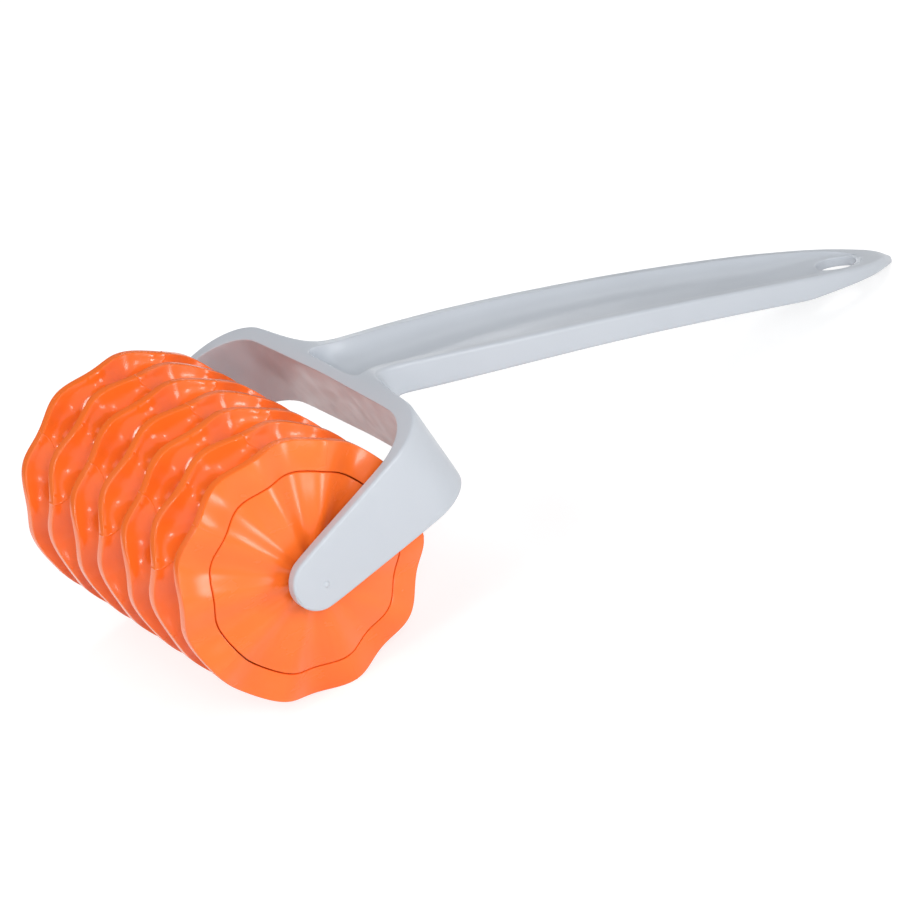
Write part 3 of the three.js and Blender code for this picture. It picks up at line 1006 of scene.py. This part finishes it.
def satin_ends(nodes, links, roughness):
    """Adds roughness on the drum's end faces, which the mould left with a satin finish."""
    place = nodes.new("ShaderNodeTexCoord")
    split = nodes.new("ShaderNodeSeparateXYZ")
    links.new(place.outputs["Object"], split.inputs["Vector"])
    away = nodes.new("ShaderNodeMath")
    away.operation = "ABSOLUTE"
    links.new(split.outputs["Y"], away.inputs[0])
    ends = nodes.new("ShaderNodeMapRange")
    ends.interpolation_type = "SMOOTHSTEP"
    ends.inputs["From Min"].default_value = DRUM_LENGTH / 2 - 2 * WAVE_HEIGHT
    ends.inputs["From Max"].default_value = DRUM_LENGTH / 2 - WAVE_HEIGHT
    ends.inputs["To Max"].default_value = SATIN_ROUGHNESS
    links.new(away.outputs["Value"], ends.inputs["Value"])
    total = nodes.new("ShaderNodeMath")
    links.new(roughness, total.inputs[0])
    links.new(ends.outputs["Result"], total.inputs[1])
    return total.outputs["Value"]


def moulded_plastic(name, group, colour, cloud_colour, gloss, rubbed, grain, has_satin_ends=False):
    material, shader = new_material(name)
    nodes = material.node_tree.nodes
    links = material.node_tree.links
    surface = nodes.new("ShaderNodeGroup")
    surface.node_tree = group
    surface.inputs["Colour"].default_value = (*colour, 1)
    surface.inputs["Cloud Colour"].default_value = (*cloud_colour, 1)
    surface.inputs["Gloss Roughness"].default_value = gloss
    surface.inputs["Rubbed Roughness"].default_value = rubbed
    bump = nodes.new("ShaderNodeBump")
    bump.inputs["Distance"].default_value = grain
    links.new(surface.outputs["Colour"], shader.inputs["Base Color"])
    roughness = surface.outputs["Roughness"]
    if has_satin_ends:
        roughness = satin_ends(nodes, links, roughness)
    links.new(roughness, shader.inputs["Roughness"])
    links.new(surface.outputs["Height"], bump.inputs["Height"])
    links.new(bump.outputs["Normal"], shader.inputs["Normal"])
    return material


# Camera and studio
def add_camera():
    data = bpy.data.cameras.new("camera")
    data.angle = CAMERA_VIEW
    data.clip_start = CAMERA_CLIP_START
    camera = bpy.data.objects.new("camera", data)
    bpy.context.scene.collection.objects.link(camera)
    camera.location = CAMERA_PLACE
    level = (CAMERA_AIM - CAMERA_PLACE).to_track_quat("-Z", "Y")
    camera.rotation_mode = "QUATERNION"
    camera.rotation_quaternion = level @ Quaternion((0, 0, 1), CAMERA_ROLL)
    bpy.context.scene.camera = camera


def seen_rays(nodes, links):
    """Tells the rays that look, straight or by way of gloss and glass, from those that carry light."""
    path = nodes.new("ShaderNodeLightPath")
    seen = path.outputs["Is Camera Ray"]
    for name in ("Is Glossy Ray", "Is Transmission Ray"):
        either = nodes.new("ShaderNodeMath")
        either.operation = "MAXIMUM"
        links.new(seen, either.inputs[0])
        links.new(path.outputs[name], either.inputs[1])
        seen = either.outputs["Value"]
    return seen


def show_apart(nodes, links, lighting, shown, output):
    """Gives one shader to the rays that carry light and another to those that look."""
    choice = nodes.new("ShaderNodeMixShader")
    links.new(seen_rays(nodes, links), choice.inputs["Fac"])
    links.new(lighting, choice.inputs[1])
    links.new(shown, choice.inputs[2])
    links.new(choice.outputs["Shader"], output.inputs["Surface"])


def new_paper(nodes, shade):
    paper = nodes.new("ShaderNodeBsdfDiffuse")
    paper.inputs["Color"].default_value = (shade, shade, shade, 1)
    return paper.outputs["BSDF"]


def add_sheet(name, material, size, place, turn=0):
    """A square of the studio, level or turned up."""
    bpy.ops.object.select_all(action="DESELECT")
    bpy.ops.mesh.primitive_plane_add(size=size, location=place, rotation=(turn, 0, 0))
    sheet = bpy.context.object
    sheet.name = name
    sheet.data.materials.append(material)
    return sheet


def add_floor():
    material, shader = new_material("studio_floor")
    nodes = material.node_tree.nodes
    links = material.node_tree.links
    nodes.remove(shader)
    glow = nodes.new("ShaderNodeEmission")
    glow.inputs["Strength"].default_value = FLOOR_GLOW
    shown = nodes.new("ShaderNodeAddShader")
    links.new(new_paper(nodes, SHOWN_PAPER_SHADE), shown.inputs[0])
    links.new(glow.outputs["Emission"], shown.inputs[1])
    paper = new_paper(nodes, PAPER_SHADE)
    show_apart(nodes, links, paper, shown.outputs["Shader"], nodes["Material Output"])
    floor = add_sheet("studio_floor", material, FLOOR_SIZE, (0, 0, TABLE))


def add_world():
    world = bpy.data.worlds.new("studio")
    bpy.context.scene.world = world
    world.use_nodes = True
    nodes = world.node_tree.nodes
    light = nodes["Background"]
    light.inputs["Color"].default_value = SKY_COLOUR
    light.inputs["Strength"].default_value = SKY_STRENGTH
    shown = nodes.new("ShaderNodeBackground")
    shown.inputs["Color"].default_value = SHOWN_SKY_COLOUR
    show_apart(
        nodes, world.node_tree.links, light.outputs["Background"], shown.outputs["Background"],
        nodes["World Output"])


def add_dark_card(name, material, size, place, turn=0):
    """A card that only gloss shows, to keep the bright surroundings out of it."""
    card = add_sheet(name, material, size, place, turn)
    card.visible_camera = False
    card.visible_diffuse = False
    card.visible_transmission = False
    card.visible_shadow = False


def add_dark_cards():
    """One card beyond the far end and one overhead."""
    material, shader = new_material("dark_card")
    shader.inputs["Base Color"].default_value = (CARD_SHADE, CARD_SHADE, CARD_SHADE, 1)
    shader.inputs["Roughness"].default_value = 1
    far_place = (LIT_PLACE.x, FAR_CARD_DISTANCE, TABLE + FAR_CARD_SIZE / 2)
    add_dark_card("far_card", material, FAR_CARD_SIZE, far_place, math.pi / 2)
    add_dark_card("ceiling_card", material, CEILING_CARD_SIZE, (LIT_PLACE.x, 0, CEILING_HEIGHT))


def add_softbox(name, turn, lift, away, size, power, mirrored=True):
    """A lamp turned about the roller from its near end towards the handle's tip, and lifted above it.

    The turn and the lift are in degrees. A fill lamp is not mirrored in glossy surfaces.
    """
    turn = math.radians(turn)
    lift = math.radians(lift)
    outwards = Vector((math.sin(turn) * math.cos(lift), -math.cos(turn) * math.cos(lift), math.sin(lift)))
    data = bpy.data.lights.new(name, "AREA")
    data.shape = "RECTANGLE"
    data.size, data.size_y = size
    data.energy = power
    lamp = bpy.data.objects.new(name, data)
    bpy.context.scene.collection.objects.link(lamp)
    lamp.location = LIT_PLACE + outwards * away
    lamp.visible_glossy = mirrored
    lamp.rotation_mode = "QUATERNION"
    lamp.rotation_quaternion = outwards.to_track_quat("Z", "Y")


# The picture
bpy.context.scene.view_settings.view_transform = "Standard"
add_camera()
add_floor()
add_world()
add_dark_cards()

# Lamps, with their distances and sizes in metres and their powers in watts
add_softbox("right_front_softbox", turn=25, lift=11, away=0.9, size=(0.24, 0.34), power=2.1)
add_softbox("front_fill", turn=-10, lift=30, away=0.8, size=(0.3, 0.3), power=2.6, mirrored=False)
add_softbox("front_sparkle", turn=-13, lift=26, away=1, size=(0.1, 0.1), power=0.5)
add_softbox("left_softbox", turn=-76, lift=30, away=1, size=(0.16, 0.16), power=1.2)
add_softbox("left_fill", turn=-80, lift=52, away=0.9, size=(0.3, 0.3), power=1.3, mirrored=False)
add_softbox("overhead_softbox", turn=20, lift=74, away=1, size=(0.36, 0.36), power=0.55)
add_softbox("right_back_softbox", turn=135, lift=40, away=1.2, size=(0.5, 0.5), power=4.2, mirrored=False)
add_softbox("left_back_softbox", turn=-135, lift=32, away=1.2, size=(0.5, 0.5), power=2.4)
add_softbox("low_back_sparkle", turn=150, lift=13, away=1.2, size=(0.2, 0.1), power=1)

# The roller
surface = moulded_surface()
orange_plastic = moulded_plastic(
    "orange_plastic", surface, ORANGE, ORANGE_CLOUD, ORANGE_GLOSS, ORANGE_RUBBED, ORANGE_GRAIN,
    has_satin_ends=True)
grey_plastic = moulded_plastic(
    "grey_plastic", surface, GREY, GREY_CLOUD, GREY_GLOSS, GREY_RUBBED, GREY_GRAIN)

roller_drum(orange_plastic)
end_cap("near_end_cap", "end_cap_near", -1, orange_plastic)
end_cap("far_end_cap", "end_cap_far", 1, orange_plastic)
fork_and_handle(grey_plastic)
